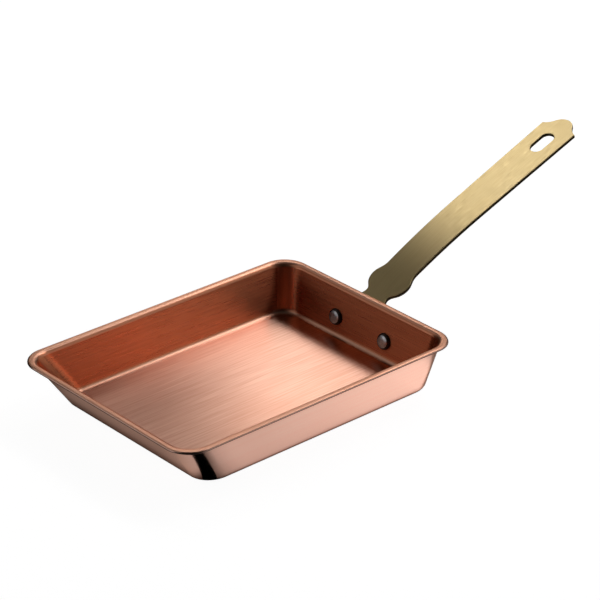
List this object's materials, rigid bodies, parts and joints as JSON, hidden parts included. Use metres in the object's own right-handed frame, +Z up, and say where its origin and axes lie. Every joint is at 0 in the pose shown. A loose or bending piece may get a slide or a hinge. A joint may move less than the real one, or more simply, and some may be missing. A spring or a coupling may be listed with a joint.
{
  "type": "tamagoyaki pan",
  "caption": "Rectangular copper omelette pan with a flat outturned rim, a slanting pouring end and a riveted flat brass handle that ends in a hanging slot.",
  "frame": {"origin": "on the resting plane under the middle of the rim's outline", "axes": "+X towards the handle's tip, +Z up, +Y to the left when looking along +X; the pouring end faces -X"},
  "size_m": [0.328, 0.13, 0.0872],
  "materials": {
    "copper": "brushed copper",
    "brass": "fine brushed brass",
    "rivet_metal": "plain hammered aluminium"
  },
  "bodies": {
    "root": {"pan_body": "copper", "handle": "brass", "rivet_left": "rivet_metal", "rivet_right": "rivet_metal"}
  },
  "joints": []
}
